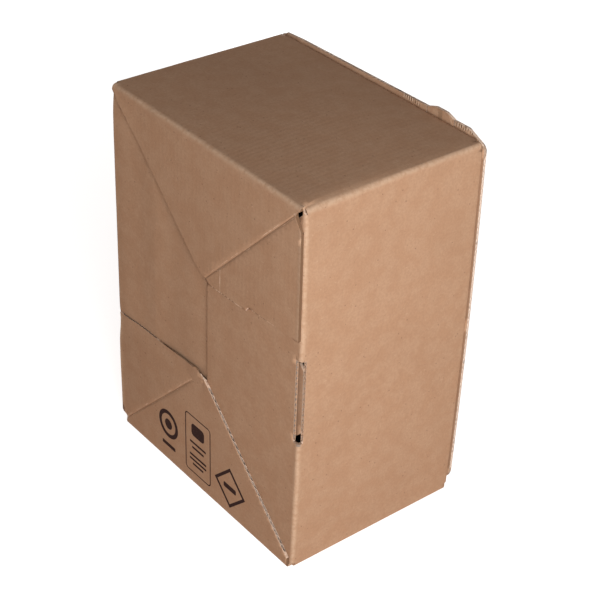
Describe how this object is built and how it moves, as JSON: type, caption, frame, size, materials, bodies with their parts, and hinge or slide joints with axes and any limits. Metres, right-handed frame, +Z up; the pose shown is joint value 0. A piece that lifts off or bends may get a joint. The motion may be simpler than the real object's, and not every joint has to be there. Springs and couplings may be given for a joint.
{
  "type": "closed cardboard box",
  "caption": "Closed corrugated carton on its short wall, with an interlocking self-locking base, a full-overlap sealed lid and a tear tab.",
  "frame": {"origin": "middle of the bounding box's bottom, on the surface that the carton stands on", "axes": "+Z up along the carton's length, X across its width with the slotted wall on +X, Y along its depth from the self-locking base on -Y to the sealed lid on +Y"},
  "size_m": [0.1586, 0.1146, 0.222],
  "materials": {
    "kraft_board": "uncoated brown kraft",
    "adhesive": "dry adhesive film",
    "tape": "thin plastic film"
  },
  "bodies": {
    "root": {"carton_blank": "kraft_board", "seal_adhesive": "adhesive", "tear_tape": "tape"}
  },
  "joints": []
}
